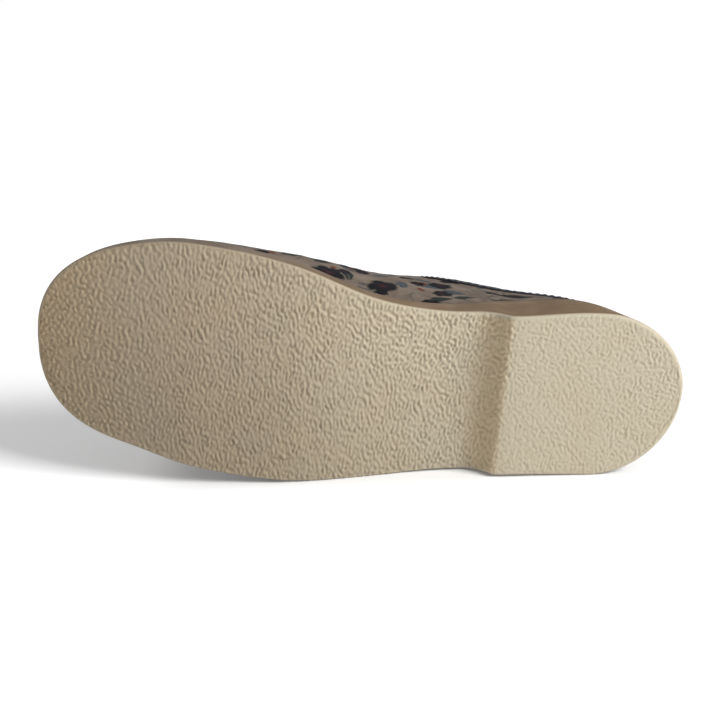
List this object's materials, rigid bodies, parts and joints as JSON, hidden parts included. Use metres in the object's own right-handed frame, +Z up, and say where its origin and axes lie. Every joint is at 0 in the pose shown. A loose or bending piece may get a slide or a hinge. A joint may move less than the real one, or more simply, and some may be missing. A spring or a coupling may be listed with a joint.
{
  "type": "charentaise slipper",
  "caption": "Closed felt house slipper with a high tongue and a bound collar, on a one-piece foam rubber sole with a low heel, lying on its outer side.",
  "frame": {"origin": "middle of the bounding box's underside, on the surface that the slipper lies on", "axes": "+Z up from the outer side to the inner side of the foot; the sole faces -Y; the toe points to -X and is raised by about 7 degrees, as the sole's outer edge and the upper both rest on the floor"},
  "size_m": [0.265, 0.1032, 0.1058],
  "materials": {
    "foam_rubber": "matte",
    "printed_felt": "matte",
    "insole_felt": "matte",
    "binding_tape": "matte"
  },
  "bodies": {
    "root": {"outsole": "foam_rubber", "upper": "printed_felt", "insole": "insole_felt", "collar_binding": "binding_tape"}
  },
  "joints": []
}
